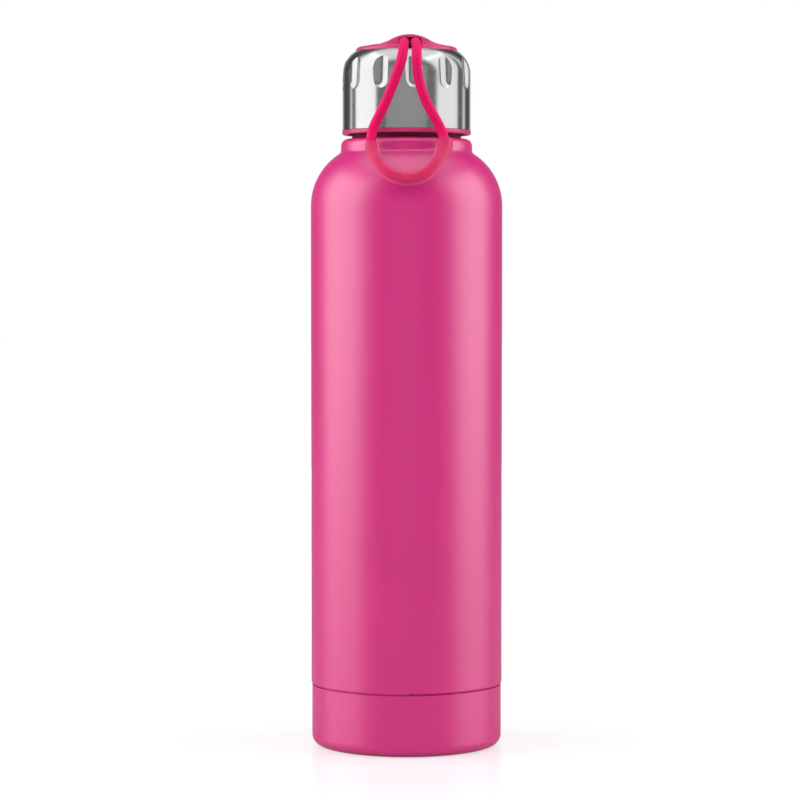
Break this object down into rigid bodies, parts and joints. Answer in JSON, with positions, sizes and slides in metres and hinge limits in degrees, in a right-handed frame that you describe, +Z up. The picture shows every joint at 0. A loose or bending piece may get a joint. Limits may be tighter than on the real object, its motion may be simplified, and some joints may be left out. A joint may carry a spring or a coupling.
{
  "type": "insulated water bottle",
  "caption": "Double-walled steel drink bottle with a screw cap, a hooded top cover and a cord carry loop in a soft sleeve.",
  "frame": {"origin": "centre of the base, on the surface the bottle stands on", "axes": "+Z up along the bottle's axis; the carry loop hangs at the front, towards -Y; +X is to the right seen from the front"},
  "size_m": [0.07, 0.0737, 0.2586],
  "materials": {
    "pink_coat": "satin powder coat",
    "bare_steel": "satin",
    "cap_steel": "polished satin",
    "spring_steel": "plain",
    "tin": "matt bead",
    "getter_metal": "dull",
    "foil": "bright",
    "pink_plastic": "satin",
    "dark_plastic": "matt",
    "foam": "open cell",
    "pad_rubber": "matt",
    "clear_silicone": "matt",
    "pink_cord": "woven",
    "pink_silicone": "satin, see-through"
  },
  "bodies": {
    "bottle": {"outer_shell": "pink_coat", "inner_liner": "bare_steel", "liner_bottom": "bare_steel", "outer_bottom": "bare_steel", "vacuum_seal": "tin", "getter_clip": "spring_steel", "getter": "getter_metal", "heat_foil": "foil", "base_cup": "pink_coat", "base_pad": "pad_rubber"},
    "seal": {"mouth_gasket": "clear_silicone"},
    "cap": {"cap_shell": "cap_steel", "cap_core": "pink_plastic", "plug_cup": "bare_steel", "cap_insulation": "foam", "loop_anchor": "dark_plastic", "cover_screws": "spring_steel", "top_cover": "pink_plastic", "loop_cord_bight": "pink_cord", "loop_cord_bend": "pink_cord"},
    "carry_loop": {"loop_cord_legs": "pink_cord", "cord_splice": "pink_cord", "grip_sleeve": "pink_silicone"}
  },
  "joints": [
    {"name": "cap_lift", "type": "slide", "parent": "bottle", "child": "seal", "axis": [0, 0, 1], "range_m": [0, 0.0271]},
    {"name": "cap_turn", "type": "hinge", "parent": "seal", "child": "cap", "pos_m": [0, 0, 0.23], "axis": [0, 0, 1], "range_deg": [0, 810]},
    {"name": "loop_swing", "type": "hinge", "parent": "cap", "child": "carry_loop", "pos_m": [0.00163, -0.02332, 0.25383], "axis": [-0.9976, -0.0698, 0], "range_deg": [0, 170], "deforming": ["loop_cord_bend"]}
  ],
  "couplings": [
    {"joint": "cap_lift", "follows": "cap_turn", "m_per_rad": 0.0019099}
  ]
}
